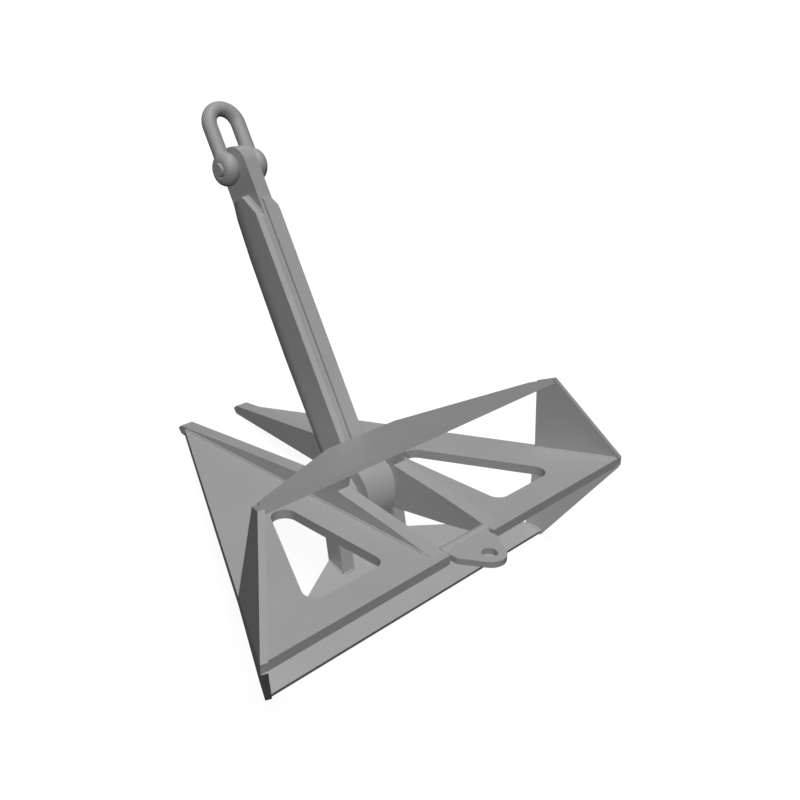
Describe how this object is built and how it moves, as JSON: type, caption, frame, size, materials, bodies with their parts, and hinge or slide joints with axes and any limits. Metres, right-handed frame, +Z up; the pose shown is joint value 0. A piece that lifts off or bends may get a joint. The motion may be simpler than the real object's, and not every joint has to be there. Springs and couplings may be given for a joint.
{
  "type": "hinged twin-fluke drag anchor",
  "caption": "Welded steel drag anchor: wide pierced flukes beside a slot, sloping palms above and below, and a shank that turns on a crown pin and ends in a bow shackle.",
  "frame": {"origin": "on the ground, under the middle of the anchor's outline", "axes": "+X across to the right, +Y forward to the noses of the flukes, +Z up, with the anchor standing on its lower palm and its two noses"},
  "size_m": [1.96, 1.8668, 1.4101],
  "materials": {
    "plate_paint": "grey painted steel plate, satin",
    "forged_paint": "grey painted forged steel, satin"
  },
  "bodies": {
    "flukes": {"fluke_plate_left": "plate_paint", "fluke_plate_right": "plate_paint", "rib_left": "plate_paint", "rib_right": "plate_paint", "upper_palm": "plate_paint", "lower_palm": "plate_paint", "end_plate_upper_left": "plate_paint", "end_plate_upper_right": "plate_paint", "end_plate_lower_left": "plate_paint", "end_plate_lower_right": "plate_paint", "pad_eye": "plate_paint", "cross_bar": "forged_paint", "rib_boss_left": "forged_paint", "rib_boss_right": "forged_paint", "crown_pin": "forged_paint", "pivot_spacer_left": "forged_paint", "pivot_spacer_right": "forged_paint"},
    "shank": {"shank_hub": "forged_paint", "shank_centre_plate": "plate_paint", "shank_cheek_left": "plate_paint", "shank_cheek_right": "plate_paint", "shank_rear_bar": "plate_paint"},
    "shackle": {"shackle_bow": "forged_paint", "shackle_pin": "forged_paint"}
  },
  "joints": [
    {"name": "crown_pivot", "type": "hinge", "parent": "flukes", "child": "shank", "pos_m": [0, -0.20185, 0.2535], "axis": [1, 0, 0], "range_deg": [-139, 7.5]},
    {"name": "shackle_pivot", "type": "hinge", "parent": "shank", "child": "shackle", "pos_m": [0, 0.73125, 1.21326], "axis": [1, 0, 0], "range_deg": [-140, 140]}
  ]
}
